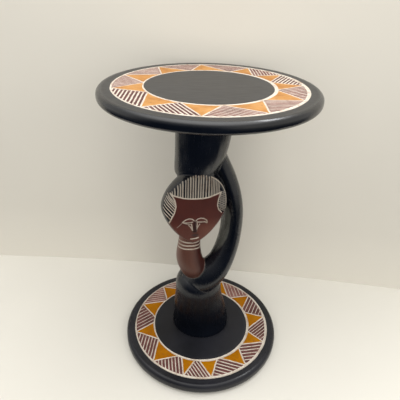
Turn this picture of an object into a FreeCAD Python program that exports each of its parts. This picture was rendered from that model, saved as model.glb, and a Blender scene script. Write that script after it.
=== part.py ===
import FreeCAD, Part
import math
import os

import Sketcher
from FreeCAD import Placement, Rotation, Vector

# Side table in carved and painted hardwood, millimetres and degrees, +Z up.
# The origin is on the surface that the table stands on, under the middle of
# the round base. The carved face looks towards -Y.
SIZES = [
    # Round top
    ("top_radius", 190.0, "outer radius of the round top"),
    ("top_thickness", 20.0, "thickness of the round top"),
    ("top_edge_radius", 8.5, "round-over of the top's upper and lower edge"),
    ("top_outer_ring_radius", 165.0, "middle of the outer incised ring on the top"),
    ("top_inner_ring_radius", 112.5, "middle of the inner incised ring on the top"),
    # Round base
    ("base_radius", 159.0, "outer radius of the round base"),
    ("base_thickness", 20.0, "thickness of the round base"),
    ("base_edge_radius", 8.0, "round-over of the base's upper and lower edge"),
    ("base_outer_ring_radius", 140.0, "middle of the outer incised ring on the base"),
    ("base_inner_ring_radius", 101.0, "middle of the inner incised ring on the base"),
    ("ring_width", 3.0, "width of an incised ring at the surface"),
    ("ring_depth", 1.0, "depth of an incised ring"),
    # Carved column, all one piece of wood
    ("column_height", 506.0, "from the top of the base to the underside of the top"),
    ("log_radius", 78.0, "radius of the log that the column is carved from"),
    ("upper_stub_radius", 52.0, "radius of the stub under the top, where they meet"),
    ("lower_stub_radius", 58.0, "radius of the stub's foot on the base"),
    ("stub_bottom_rounding", 10.0, "rounding of the upper stub's lower end"),
    ("arm_width", 43.0, "width of the arm, seen from the front"),
    ("arm_depth", 56.0, "depth of the arm, front to back"),
    ("neck_width", 52.0, "width of the neck at its widest"),
    ("neck_depth", 54.0, "depth of the neck at its thickest"),
    ("head_radius", 60.5, "half of the head's width"),
    ("crown_height", 69.0, "from the head's widest line up to the crown"),
    ("chin_drop", 77.0, "from the head's widest line down to the point of the chin"),
    ("head_depth", 52.0, "from the back of the head to the face"),
    ("head_turn", 15.0, "turn of the face about the vertical, towards +X"),
    # Dowels between the top and the column
    ("dowel_count", 3, "number of dowels"),
    ("dowel_radius", 6.0, "radius of a dowel"),
    ("dowel_length", 46.0, "length of a dowel"),
    ("dowel_chamfer", 1.0, "chamfer on each end of a dowel"),
    ("dowel_depth_in_top", 12.0, "how far a dowel reaches into the top"),
    ("dowel_circle_radius", 27.0, "radius of the circle that the dowels stand on"),
    ("dowel_fit", 0.1, "clearance round a dowel, on the radius"),
    ("dowel_end_gap", 0.5, "space for glue past each end of a dowel"),
    # Screws through the base into the column
    ("screw_count", 4, "number of screws"),
    ("screw_radius", 3.0, "radius of a screw's shank"),
    ("screw_length", 68.0, "length of a screw with its head"),
    ("screw_head_radius", 5.8, "radius of a countersunk head"),
    ("screw_head_height", 3.0, "height of the cone of a countersunk head"),
    ("screw_tip_length", 6.0, "length of a screw's point"),
    ("screw_tip_radius", 0.6, "radius at the very point of a screw"),
    ("screw_slot_width", 1.4, "width of the slot in a screw's head"),
    ("screw_slot_depth", 1.5, "depth of the slot in a screw's head"),
    ("screw_circle_radius", 32.0, "radius of the circle that the screws stand on"),
    ("screw_recess", 1.0, "how far a head sits above the base's underside"),
    ("screw_fit", 0.15, "clearance round a screw, on the radius"),
    ("screw_end_gap", 1.0, "space past a screw's point"),
    # Felt pads under the base
    ("pad_count", 4, "number of felt pads"),
    ("pad_radius", 15.0, "radius of a felt pad"),
    ("pad_thickness", 2.0, "thickness of a felt pad"),
    ("pad_circle_radius", 130.0, "radius of the circle that the pads lie on"),
    # Shared
    ("cut_overrun", 1.0, "how far a cut starts outside the wood"),
]

# Each row of a stub or of the neck is one level section: height as a share of
# the column's height, the middle's X and Y as shares of the log's radius, and
# the half width and half depth as shares of the form's own size.
UPPER_STUB_SHARES = [
    (1.000, -0.06, 0.00, 1.02, 0.97),
    (0.930, -0.08, 0.00, 0.99, 0.95),
    (0.862, -0.106, 0.00, 0.967, 0.93),
    (0.825, -0.13, 0.00, 0.935, 0.91),
    (0.782, -0.165, 0.01, 0.885, 0.88),
    (0.745, -0.215, 0.02, 0.82, 0.84),
    (0.706, -0.25, 0.03, 0.75, 0.78),
]
LOWER_STUB_SHARES = [
    (0.000, -0.02, 0.11, 1.01, 0.93),
    (0.030, -0.02, 0.11, 0.99, 0.91),
    (0.081, -0.048, 0.10, 0.935, 0.87),
    (0.132, -0.09, 0.08, 0.865, 0.82),
    (0.176, -0.105, 0.06, 0.81, 0.79),
    (0.212, -0.11, 0.05, 0.80, 0.78),
    (0.240, -0.115, 0.05, 0.73, 0.71),
    (0.256, -0.12, 0.05, 0.60, 0.58),
]
NECK_SHARES = [
    (0.560, -0.33, -0.16, 0.76, 0.76),
    (0.500, -0.345, -0.17, 0.78, 0.78),
    (0.455, -0.355, -0.18, 0.81, 0.82),
    (0.417, -0.37, -0.19, 0.86, 0.88),
    (0.383, -0.37, -0.20, 0.94, 0.95),
    (0.350, -0.335, -0.20, 1.01, 1.00),
    (0.320, -0.28, -0.18, 1.01, 1.00),
    (0.290, -0.255, -0.13, 0.88, 0.86),
    (0.266, -0.25, -0.06, 0.62, 0.60),
    (0.245, -0.25, 0.00, 0.40, 0.40),
]
# Each row of the arm is one section square to the arm's run: the middle's X,
# Y and height shares, half the width and half the depth as shares of the
# arm's width and depth, and how full the section is. A fullness of 2 is an
# ellipse, and less gives it blunt ridges.
ARM_SHARES = [
    (-0.05, 0.10, 0.868, 0.60, 0.50, 2.0),
    (0.12, 0.17, 0.782, 0.56, 0.52, 1.9),
    (0.385, 0.19, 0.698, 0.54, 0.51, 1.7),
    (0.575, 0.16, 0.622, 0.52, 0.50, 1.6),
    (0.665, 0.11, 0.547, 0.50, 0.49, 1.55),
    (0.655, 0.05, 0.472, 0.49, 0.49, 1.6),
    (0.565, -0.03, 0.401, 0.51, 0.50, 1.65),
    (0.40, -0.11, 0.337, 0.56, 0.51, 1.75),
    (0.16, -0.15, 0.290, 0.66, 0.53, 1.9),
    (-0.12, -0.13, 0.252, 0.64, 0.50, 2.0),
    (-0.38, -0.06, 0.228, 0.50, 0.42, 2.0),
]
# How far the arm's front ridge sits towards its outer side.
ARM_RIDGE_SHARE = 0.32
# The head is a stack of shield outlines from back to face: place along the
# head's depth, and the size of the outline, as shares.
HEAD_LAYER_SHARES = [
    (0.00, 0.55),
    (0.15, 0.79),
    (0.38, 0.95),
    (0.62, 1.00),
    (0.85, 0.985),
    (0.95, 0.95),
    (1.00, 0.90),
]
# The middle of the face: X and Y as shares of the log's radius, and height.
FACE_MIDDLE_SHARES = (-0.215, -0.575, 0.611)
# How full the head's outline is: the crown's +X side, its -X side and the chin.
CROWN_FULL_SIDE_SHARE = 2.35
CROWN_LEAN_SIDE_SHARE = 1.65
CHIN_FULLNESS_SHARE = 1.5
SECTION_POINT_COUNT = 16


def make_sheet(doc):
    """Write the driving dimensions into the document's spreadsheet."""
    sheet = doc.addObject("Spreadsheet::Sheet", "Sizes")
    for row, (alias, value, note) in enumerate(SIZES, start=1):
        sheet.set("A%d" % row, note)
        sheet.set("B%d" % row, str(value))
        sheet.setAlias("B%d" % row, alias)
    doc.recompute()
    return sheet


def origin_plane(body, role):
    """Find one of a body's own origin planes or axes by its role."""
    return next(item for item in body.Origin.OriginFeatures if item.Role == role)


def new_body(doc, name):
    """Start a body whose label names its file."""
    body = doc.addObject("PartDesign::Body", name)
    body.Label = name
    return body


def new_sketch(body, name, role):
    """Start a sketch on one of the body's origin planes."""
    sketch = body.newObject("Sketcher::SketchObject", name)
    sketch.AttachmentSupport = [(origin_plane(body, role), "")]
    sketch.MapMode = "FlatFace"
    return sketch


def bound(sketch, kind, references, expression):
    """Add a dimension whose value follows an expression."""
    index = sketch.addConstraint(Sketcher.Constraint(kind, *references, 1.0))
    sketch.renameConstraint(index, "size_%d" % index)
    sketch.setExpression("Constraints.size_%d" % index, expression)


def closed_outline(sketch, corners):
    """Draw straight lines round corners given as X and Y expressions."""
    count = len(corners)
    steps = [2 * math.pi * index / count for index in range(count)]
    spots = [Vector(math.cos(step), math.sin(step), 0) for step in steps]
    lines = [
        sketch.addGeometry(Part.LineSegment(spots[index], spots[(index + 1) % count]), False)
        for index in range(count)
    ]
    for index, line in enumerate(lines):
        following = lines[(index + 1) % count]
        sketch.addConstraint(Sketcher.Constraint("Coincident", line, 2, following, 1))
    for line, (across, upward) in zip(lines, corners):
        if across == "0":
            sketch.addConstraint(Sketcher.Constraint("PointOnObject", line, 1, -2))
        else:
            bound(sketch, "DistanceX", (-1, 1, line, 1), across)
        if upward == "0":
            sketch.addConstraint(Sketcher.Constraint("PointOnObject", line, 1, -1))
        else:
            bound(sketch, "DistanceY", (-1, 1, line, 1), upward)


def bound_circle(sketch, across, radius):
    """Draw a circle whose middle is on the sketch's X axis."""
    circle = sketch.addGeometry(Part.Circle(Vector(1, 0, 0), Vector(0, 0, 1), 1), False)
    sketch.addConstraint(Sketcher.Constraint("PointOnObject", circle, 3, -1))
    bound(sketch, "DistanceX", (-1, 1, circle, 3), across)
    bound(sketch, "Radius", (circle,), radius)


def turned(body, name, corners):
    """Turn a half outline about the body's vertical axis."""
    sketch = new_sketch(body, name + "_outline", "XZ_Plane")
    closed_outline(sketch, corners)
    feature = body.newObject("PartDesign::Revolution", name)
    feature.Profile = sketch
    feature.ReferenceAxis = (sketch, ["V_Axis"])
    feature.Angle = 360
    return feature


def circle_edges(shape, radius):
    """Name the round edges of one radius."""
    return [
        "Edge%d" % number
        for number, edge in enumerate(shape.Edges, start=1)
        if isinstance(edge.Curve, Part.Circle) and abs(edge.Curve.Radius - radius) < 1e-6
    ]


def polar_copies(doc, body, name, cut, count):
    """Repeat a cut round the body's vertical axis."""
    pattern = body.newObject("PartDesign::PolarPattern", name)
    pattern.Originals = [cut]
    pattern.Axis = (origin_plane(body, "Z_Axis"), [""])
    pattern.Angle = 360
    pattern.setExpression("Occurrences", count)
    body.Tip = pattern
    doc.recompute()
    return pattern


def round_disc(doc, sheet, part):
    """Turn the top or the base: a disc with rounded edges and two incised rings."""
    name = {"top": "table_top", "base": "base_disc"}[part]
    thickness = "Sizes.%s_thickness" % part
    body = new_body(doc, name)
    disc = turned(body, part + "_disc", [
        ("0", "0"),
        ("Sizes.%s_radius" % part, "0"),
        ("Sizes.%s_radius" % part, thickness),
        ("0", thickness),
    ])
    doc.recompute()
    rim = body.newObject("PartDesign::Fillet", part + "_round_over")
    rim.Base = (disc, circle_edges(disc.Shape, getattr(sheet, part + "_radius")))
    rim.setExpression("Radius", "Sizes.%s_edge_radius" % part)
    doc.recompute()
    for which in ("outer", "inner"):
        ring = "Sizes.%s_%s_ring_radius" % (part, which)
        sketch = new_sketch(body, "%s_%s_ring_outline" % (part, which), "XZ_Plane")
        closed_outline(sketch, [
            (ring + " - Sizes.ring_width / 2", thickness),
            (ring, thickness + " - Sizes.ring_depth"),
            (ring + " + Sizes.ring_width / 2", thickness),
        ])
        groove = body.newObject("PartDesign::Groove", "%s_%s_ring" % (part, which))
        groove.Profile = sketch
        groove.ReferenceAxis = (sketch, ["V_Axis"])
        groove.Angle = 360
        doc.recompute()
    return body


def table_top(doc, sheet):
    """The round top, with blind holes for the dowels in its underside."""
    body = round_disc(doc, sheet, "top")
    sketch = new_sketch(body, "dowel_hole_outline", "XY_Plane")
    bound_circle(sketch, "Sizes.dowel_circle_radius", "Sizes.dowel_radius + Sizes.dowel_fit")
    hole = body.newObject("PartDesign::Pocket", "dowel_hole")
    hole.Profile = sketch
    hole.Reversed = True
    hole.setExpression("Length", "Sizes.dowel_depth_in_top + Sizes.dowel_end_gap")
    doc.recompute()
    polar_copies(doc, body, "dowel_holes", hole, "Sizes.dowel_count")
    height = "Sizes.pad_thickness + Sizes.base_thickness + Sizes.column_height"
    body.setExpression("Placement.Base.z", height)
    return body


def base_disc(doc, sheet):
    """The round base, with countersunk screw holes in its underside."""
    body = round_disc(doc, sheet, "base")
    middle = "Sizes.screw_circle_radius"
    wide = middle + " + Sizes.screw_head_radius + Sizes.screw_fit"
    narrow = middle + " + Sizes.screw_radius + Sizes.screw_fit"
    cone_top = "Sizes.screw_recess + Sizes.screw_head_height"
    sketch = new_sketch(body, "screw_hole_outline", "XZ_Plane")
    closed_outline(sketch, [
        (middle, "0"),
        (wide, "0"),
        (wide, "Sizes.screw_recess"),
        (narrow, cone_top),
        (narrow, "Sizes.base_thickness + Sizes.cut_overrun"),
        (middle, "Sizes.base_thickness + Sizes.cut_overrun"),
    ])
    hole = body.newObject("PartDesign::Groove", "screw_hole")
    hole.Profile = sketch
    hole.ReferenceAxis = (sketch, ["Edge6"])
    hole.Angle = 360
    doc.recompute()
    polar_copies(doc, body, "screw_holes", hole, "Sizes.screw_count")
    body.setExpression("Placement.Base.z", "Sizes.pad_thickness")
    return body


def sign_power(value, power):
    """Raise to a power and keep the sign."""
    return math.copysign(abs(value) ** power, value)


def smooth_ring(points):
    """Close a smooth curve through points."""
    curve = Part.BSplineCurve()
    curve.interpolate(points, PeriodicFlag=True)
    return Part.Wire([curve.toShape()])


def oval(middle, across, inward, half_across, half_inward, fullness=2, ridge=0):
    """A section about a middle, with its two half sizes along two directions."""
    points = []
    for index in range(SECTION_POINT_COUNT):
        angle = 2 * math.pi * index / SECTION_POINT_COUNT
        depth = sign_power(math.sin(angle), 2 / fullness)
        side = sign_power(math.cos(angle), 2 / fullness) + ridge * max(0, -depth)
        points.append(middle + across * side * half_across + inward * depth * half_inward)
    return smooth_ring(points)


def carved_form(doc, name, sections):
    """Loft one form of the column through its sections."""
    form = doc.addObject("Part::Feature", name)
    form.Shape = Part.makeLoft(sections, True, False)
    form.Placement = Placement()
    return form


def level_sections(sheet, shares, half_width, half_depth):
    """Level sections of a stub or of the neck."""
    sections = []
    for height, middle_x, middle_y, width, depth in shares:
        middle = Vector(
            middle_x * sheet.log_radius,
            middle_y * sheet.log_radius,
            height * sheet.column_height,
        )
        sections.append(oval(
            middle, Vector(1, 0, 0), Vector(0, 1, 0), width * half_width, depth * half_depth,
        ))
    return sections


def arm_sections(sheet):
    """Sections of the arm, each square to its run as seen from the front."""
    middles = [
        Vector(x * sheet.log_radius, y * sheet.log_radius, height * sheet.column_height)
        for x, y, height, width, depth, fullness in ARM_SHARES
    ]
    sections = []
    for index, (x, y, height, width, depth, fullness) in enumerate(ARM_SHARES):
        before = middles[max(index - 1, 0)]
        after = middles[min(index + 1, len(middles) - 1)]
        run = (before - after).normalize()
        across = Vector(0, 1, 0).cross(run).normalize()
        inward = run.cross(across).normalize()
        sections.append(oval(
            middles[index], across, inward,
            width * sheet.arm_width, depth * sheet.arm_depth, fullness, ARM_RIDGE_SHARE,
        ))
    return sections


def face_middle(sheet):
    """The middle of the face, on the head's widest line."""
    x, y, height = FACE_MIDDLE_SHARES
    return Vector(x * sheet.log_radius, y * sheet.log_radius, height * sheet.column_height)


def shield(middle, across, crown, chin, half_width):
    """A face outline: round at the crown and drawn in to the chin."""
    points = []
    for index in range(SECTION_POINT_COUNT):
        angle = 2 * math.pi * index / SECTION_POINT_COUNT
        if math.sin(angle) < -1e-9:
            fullness, rise = CHIN_FULLNESS_SHARE, chin
        elif math.cos(angle) > 0:
            fullness, rise = CROWN_FULL_SIDE_SHARE, crown
        else:
            fullness, rise = CROWN_LEAN_SIDE_SHARE, crown
        side = half_width * sign_power(math.cos(angle), 2 / fullness)
        upward = rise * sign_power(math.sin(angle), 2 / fullness)
        points.append(middle + across * side + Vector(0, 0, upward))
    return smooth_ring(points)


def head_sections(sheet):
    """Shield outlines from the back of the head to the face."""
    turn = Rotation(Vector(0, 0, 1), sheet.head_turn)
    across = turn.multVec(Vector(1, 0, 0))
    backward = turn.multVec(Vector(0, 1, 0))
    sections = []
    for place, size in HEAD_LAYER_SHARES:
        middle = face_middle(sheet) + backward * ((1 - place) * sheet.head_depth)
        sections.append(shield(
            middle, across, size * sheet.crown_height,
            size * sheet.chin_drop, size * sheet.head_radius,
        ))
    return sections


def upright_hole(doc, name, circle, angle, radius, start, depth):
    """A round hole's cylinder, standing on a circle about the vertical axis."""
    hole = doc.addObject("Part::Cylinder", name)
    hole.setExpression("Radius", radius)
    hole.setExpression("Height", depth)
    hole.setExpression("Placement.Base.x", "%s * cos(%s)" % (circle, angle))
    hole.setExpression("Placement.Base.y", "%s * sin(%s)" % (circle, angle))
    hole.setExpression("Placement.Base.z", start)
    return hole


def step_angle(index, count):
    """The angle of one of several places spread evenly round a circle."""
    return "360 deg * %d / %s" % (index, count)


def is_whole(shape, forms):
    """Whether a shape is one valid solid that reaches as far as all the forms."""
    if shape.isNull() or not shape.isValid() or len(shape.Solids) != 1:
        return False
    reach = FreeCAD.BoundBox()
    for form in forms:
        reach.add(form.Shape.BoundBox)
    corners = [
        (shape.BoundBox.XMin, reach.XMin), (shape.BoundBox.XMax, reach.XMax),
        (shape.BoundBox.YMin, reach.YMin), (shape.BoundBox.YMax, reach.YMax),
        (shape.BoundBox.ZMin, reach.ZMin), (shape.BoundBox.ZMax, reach.ZMax),
    ]
    return all(abs(found - wanted) < 1.0 for found, wanted in corners)


def joined(doc, forms):
    """Fuse the forms in the first order that gives one whole solid."""
    for turn in range(len(forms)):
        for order in (forms[turn:] + forms[:turn], (forms[turn:] + forms[:turn])[::-1]):
            blank = doc.addObject("Part::MultiFuse", "carved_blank")
            blank.Refine = False
            blank.Shapes = order
            doc.recompute()
            if is_whole(blank.Shape, forms):
                return blank
            doc.removeObject(blank.Name)
    raise RuntimeError("the column's forms don't join into one solid")


def carved_column(doc, sheet):
    """The column: two stubs, a bent arm, a neck and a head, in one piece."""
    upper = carved_form(doc, "upper_stub_form", level_sections(
        sheet, UPPER_STUB_SHARES, sheet.upper_stub_radius, sheet.upper_stub_radius))
    lowest_edge = min(
        range(len(upper.Shape.Edges)),
        key=lambda index: upper.Shape.Edges[index].BoundBox.ZMax,
    )
    rounded = doc.addObject("Part::Fillet", "upper_stub_rounded")
    rounded.Base = upper
    rounding = sheet.stub_bottom_rounding
    rounded.Edges = [(lowest_edge + 1, rounding, rounding)]
    forms = [
        rounded,
        carved_form(doc, "lower_stub_form", level_sections(
            sheet, LOWER_STUB_SHARES, sheet.lower_stub_radius, sheet.lower_stub_radius)),
        carved_form(doc, "neck_form", level_sections(
            sheet, NECK_SHARES, sheet.neck_width / 2, sheet.neck_depth / 2)),
        carved_form(doc, "arm_form", arm_sections(sheet)),
        carved_form(doc, "head_form", head_sections(sheet)),
    ]
    blank = joined(doc, forms)
    holes = []
    for index in range(int(sheet.dowel_count)):
        depth = "(Sizes.dowel_length - Sizes.dowel_depth_in_top + Sizes.dowel_end_gap)"
        holes.append(upright_hole(
            doc, "column_dowel_hole_%d" % (index + 1), "Sizes.dowel_circle_radius",
            step_angle(index, "Sizes.dowel_count"), "Sizes.dowel_radius + Sizes.dowel_fit",
            "Sizes.column_height - " + depth, depth + " + Sizes.cut_overrun",
        ))
    for index in range(int(sheet.screw_count)):
        reach = "Sizes.screw_length + Sizes.screw_recess - Sizes.base_thickness"
        holes.append(upright_hole(
            doc, "column_screw_hole_%d" % (index + 1), "Sizes.screw_circle_radius",
            step_angle(index, "Sizes.screw_count"), "Sizes.screw_radius + Sizes.screw_fit",
            "-Sizes.cut_overrun",
            reach + " + Sizes.screw_end_gap + Sizes.cut_overrun",
        ))
    drilled = doc.addObject("Part::MultiFuse", "column_holes")
    drilled.Shapes = holes
    column = doc.addObject("Part::Cut", "carved_column")
    column.Label = "carved_column"
    column.Refine = False
    column.Base = blank
    column.Tool = drilled
    column.setExpression("Placement.Base.z", "Sizes.pad_thickness + Sizes.base_thickness")
    doc.recompute()
    return column


def stand_on_circle(body, circle, angle, height):
    """Place a body on a circle about the vertical axis."""
    body.setExpression("Placement.Base.x", "%s * cos(%s)" % (circle, angle))
    body.setExpression("Placement.Base.y", "%s * sin(%s)" % (circle, angle))
    body.setExpression("Placement.Base.z", height)


def dowel(doc, index):
    """One glued dowel between the top and the column."""
    name = "top_dowel_%d" % (index + 1)
    body = new_body(doc, name)
    edge = "Sizes.dowel_radius - Sizes.dowel_chamfer"
    turned(body, name + "_pin", [
        ("0", "0"),
        (edge, "0"),
        ("Sizes.dowel_radius", "Sizes.dowel_chamfer"),
        ("Sizes.dowel_radius", "Sizes.dowel_length - Sizes.dowel_chamfer"),
        (edge, "Sizes.dowel_length"),
        ("0", "Sizes.dowel_length"),
    ])
    joint = "Sizes.pad_thickness + Sizes.base_thickness + Sizes.column_height"
    stand_on_circle(
        body, "Sizes.dowel_circle_radius", step_angle(index, "Sizes.dowel_count"),
        joint + " + Sizes.dowel_depth_in_top - Sizes.dowel_length",
    )
    return body


def screw(doc, index):
    """One slotted countersunk screw, from the base's underside into the column."""
    name = "base_screw_%d" % (index + 1)
    body = new_body(doc, name)
    turned(body, name + "_shank", [
        ("0", "0"),
        ("Sizes.screw_head_radius", "0"),
        ("Sizes.screw_radius", "Sizes.screw_head_height"),
        ("Sizes.screw_radius", "Sizes.screw_length - Sizes.screw_tip_length"),
        ("Sizes.screw_tip_radius", "Sizes.screw_length"),
        ("0", "Sizes.screw_length"),
    ])
    sketch = new_sketch(body, name + "_slot_outline", "XY_Plane")
    end = "Sizes.screw_head_radius + Sizes.cut_overrun"
    half = "Sizes.screw_slot_width / 2"
    closed_outline(sketch, [
        ("-(%s)" % end, "-" + half),
        (end, "-" + half),
        (end, half),
        ("-(%s)" % end, half),
    ])
    slot = body.newObject("PartDesign::Pocket", name + "_slot")
    slot.Profile = sketch
    slot.Reversed = True
    slot.setExpression("Length", "Sizes.screw_slot_depth")
    stand_on_circle(
        body, "Sizes.screw_circle_radius", step_angle(index, "Sizes.screw_count"),
        "Sizes.pad_thickness + Sizes.screw_recess",
    )
    return body


def felt_pad(doc, index):
    """One round felt pad, stuck under the base."""
    name = "felt_pad_%d" % (index + 1)
    body = new_body(doc, name)
    sketch = new_sketch(body, name + "_outline", "XY_Plane")
    circle = sketch.addGeometry(Part.Circle(Vector(0, 0, 0), Vector(0, 0, 1), 1), False)
    sketch.addConstraint(Sketcher.Constraint("Coincident", circle, 3, -1, 1))
    bound(sketch, "Radius", (circle,), "Sizes.pad_radius")
    pad = body.newObject("PartDesign::Pad", name + "_felt")
    pad.Profile = sketch
    pad.setExpression("Length", "Sizes.pad_thickness")
    angle = step_angle(index, "Sizes.pad_count") + " + 180 deg / Sizes.pad_count"
    stand_on_circle(body, "Sizes.pad_circle_radius", angle, "0")
    return body


def check(doc, parts):
    """Stop if any object failed or any sub-part is empty or broken."""
    for item in doc.Objects:
        if "Invalid" in item.State or "Error" in item.State:
            raise RuntimeError("%s failed: %s" % (item.Label, item.State))
    for part in parts:
        if part.Shape.isNull() or not part.Shape.isValid():
            raise RuntimeError("%s has no valid shape" % part.Label)
        if len(part.Shape.Solids) != 1:
            raise RuntimeError("%s is %d solids" % (part.Label, len(part.Shape.Solids)))


def main():
    doc = FreeCAD.newDocument("carved_side_table")
    sheet = make_sheet(doc)
    parts = [table_top(doc, sheet), carved_column(doc, sheet), base_disc(doc, sheet)]
    parts += [dowel(doc, index) for index in range(int(sheet.dowel_count))]
    parts += [screw(doc, index) for index in range(int(sheet.screw_count))]
    parts += [felt_pad(doc, index) for index in range(int(sheet.pad_count))]
    doc.recompute()
    check(doc, parts)
    os.makedirs("parts", exist_ok=True)
    for part in parts:
        part.Shape.exportStep("parts/%s.step" % part.Label)
        box = part.Shape.BoundBox
        print("%s: %.0f mm3, z %.1f to %.1f" % (part.Label, part.Shape.Volume, box.ZMin, box.ZMax))


main()
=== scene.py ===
import math

import bmesh
import bpy
import numpy as np
from bpy.props import FloatProperty, FloatVectorProperty, PointerProperty
from mathutils import Matrix, Vector, noise
from mathutils.bvhtree import BVHTree
from mathutils.geometry import delaunay_2d_cdt


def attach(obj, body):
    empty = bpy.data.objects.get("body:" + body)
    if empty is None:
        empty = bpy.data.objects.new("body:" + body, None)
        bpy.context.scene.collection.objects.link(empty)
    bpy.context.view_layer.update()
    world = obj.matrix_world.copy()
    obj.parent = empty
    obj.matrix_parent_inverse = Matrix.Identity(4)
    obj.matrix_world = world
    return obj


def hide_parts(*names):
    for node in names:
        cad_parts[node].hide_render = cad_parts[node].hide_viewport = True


bl_info = {
    "name": "Carved Side Table",
    "version": (1, 0, 0),
    "blender": (4, 5, 0),
    "location": "3D View > Sidebar > Side Table",
    "description": "Looks of a carved and painted pedestal side table around its CAD frame",
    "category": "Object",
}

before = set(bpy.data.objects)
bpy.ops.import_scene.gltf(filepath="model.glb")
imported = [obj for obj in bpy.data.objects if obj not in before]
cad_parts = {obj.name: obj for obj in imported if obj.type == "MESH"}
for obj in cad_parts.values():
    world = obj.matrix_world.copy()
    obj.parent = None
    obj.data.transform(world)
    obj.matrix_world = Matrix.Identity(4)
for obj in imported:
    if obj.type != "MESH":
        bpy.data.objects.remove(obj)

MM = 0.001
COLUMN_LOW, COLUMN_HIGH = 22.0, 528.0

# One row for each ochre triangle of a painted band, anticlockwise: the angle of
# its point on the outer ring, the angles of its two corners on the inner ring,
# and for the hatched field after it the number of lines, their width in
# millimetres, how unsteady they are and whether white is rubbed over its ground.
TOP_BAND = [
    (6.5, -7.6, 18.9, 9, 2.7, 0.25, False),
    (35.1, 18.9, 44.6, 9, 1.7, 0.5, True),
    (62.7, 44.6, 70.7, 9, 1.3, 0.6, True),
    (96.9, 70.7, 109.4, 9, 1.4, 0.6, True),
    (128.6, 109.4, 142.8, 9, 2.0, 0.5, True),
    (161.0, 142.8, 178.0, 9, 2.0, 0.6, True),
    (193.5, 178.0, 209.4, 9, 2.7, 0.3, False),
    (234.0, 209.4, 247.8, 9, 2.5, 0.3, False),
    (266.8, 247.8, 280.4, 9, 1.8, 0.8, True),
    (301.3, 280.4, 316.8, 9, 1.9, 0.6, True),
    (334.3, 316.8, 352.4, 9, 2.0, 0.7, True),
]
# In some fields of the base the hatching is narrower to darken them, as painted shade.
BASE_BAND = [
    (8.9, -9.0, 18.8, 6, 1.6, 0.3, False),
    (38.1, 24.2, 49.2, 6, 1.5, 0.5, True),
    (69.6, 53.2, 84.0, 6, 1.8, 0.4, False),
    (100.0, 86.0, 106.0, 6, 1.8, 0.5, True),
    (131.6, 108.0, 142.5, 7, 1.1, 0.7, True),
    (161.7, 145.4, 176.0, 7, 1.4, 0.3, False),
    (195.0, 184.4, 211.3, 7, 1.8, 0.4, False),
    (229.8, 211.3, 245.9, 8, 2.0, 0.3, False),
    (258.0, 249.4, 265.2, 7, 2.0, 0.3, False),
    (279.8, 269.6, 290.4, 6, 2.1, 0.5, False),
    (310.2, 293.0, 320.8, 6, 2.0, 0.5, False),
    (339.9, 325.2, 348.2, 7, 1.3, 0.3, False),
]
# Each disc in millimetres: its rings are the outer and the inner white one, which are
# broader by a share towards an angle; on the base they narrow towards the back left as
# painted shade. The chalk is darkened by a share, and on the base it and the ochre are
# darker as painted shadow from the top above. Gloss is that of the black and of the ochre.
# A hole has its distance and angle from the middle, its radius and its depth from
# below, or None if it goes through and has a recess for a screw's head.
DISCS = {
    "table_top": {
        "radius": 190.0, "edge": 8.5, "low": COLUMN_HIGH, "high": 548.0,
        "rings": (165.0, 112.5), "ring_share": 1.0, "broader_side_and_shade": (0.36, 0.0),
        "band": TOP_BAND, "seed": 3.0, "chalk_shade": 0.89,
        "ochre": "ochre", "black": "black", "gloss": (0.8, 0.4),
        "holes": [(27.0, 120.0 * k, 6.1, 12.5) for k in range(3)],
    },
    "base_disc": {
        "radius": 159.0, "edge": 8.0, "low": 2.0, "high": COLUMN_LOW,
        # On the base the rings narrow towards the back left, as painted shade.
        "rings": (140.0, 101.0), "ring_share": 0.78, "broader_side_and_shade": (0.40, -40.0),
        # Painted shadow: the base's chalk is darkened more than the top's.
        "band": BASE_BAND, "seed": 17.0, "chalk_shade": 0.69,
        # Painted shadow: the base has its own darker ochre.
        "ochre": "deep_ochre", "black": "worn_black", "gloss": (0.3, 0.05),
        "holes": [(32.0, 90.0 * k, 3.15, None) for k in range(4)],
    },
}
BLACK, CHALK, OCHRE, OXBLOOD, RUBBED = range(5)
AXIS = np.zeros(2)
# Points round a rim, rows of its rounding, points round a hole and round a white ring,
# and millimetres between the points of a straight cut.
RIM_STEPS, RIM_BENDS, HOLE_STEPS, RING_STEPS, CUT_STEP = 288, 10, 24, 240, 6.0
# The recess for a screw's head: its radius, its straight depth and where its cone ends.
RECESS_RADIUS, RECESS_DEPTH, SINK_TOP = 5.95, 1.0, 4.0
# Depths of the rings, the zig-zag and the hatching, how much their widths vary and how
# far the face between them waves.
RING_DEPTH, BORDER_DEPTH, HATCH_DEPTH, WOBBLE, WAVE = 1.0, 0.8, 0.7, 0.22, 0.07
# The shortest hatching line that is drawn, in steps of a quarter of a millimetre.
SHORTEST_LINE = 14
SHARP_ANGLE = math.radians(25.0)

# The face's own frame: across the face, up, and out of it, in millimetres.
FACE_MIDDLE = Vector((-16.8, -44.9, 331.2))
FACE_TURN = math.radians(15.0)
ACROSS = Vector((math.cos(FACE_TURN), math.sin(FACE_TURN), 0.0))
OUTWARD = Vector((math.sin(FACE_TURN), -math.cos(FACE_TURN), 0.0))
# The head's half width, height above and below its middle and depth, how full its
# outline is, and its size at places from its back to its front.
HEAD_RADIUS, CROWN_HEIGHT, CHIN_DROP, HEAD_DEPTH = 60.5, 69.0, 77.0, 52.0
CROWN_FULL_SIDE, CROWN_LEAN_SIDE, CHIN_FULLNESS = 2.35, 1.65, 1.5
HEAD_LAYER_PLACES = (0.0, 0.15, 0.38, 0.62, 0.85, 0.95, 1.0)
HEAD_LAYER_SIZES = (0.55, 0.79, 0.95, 1.0, 0.985, 0.95, 0.90)
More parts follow.
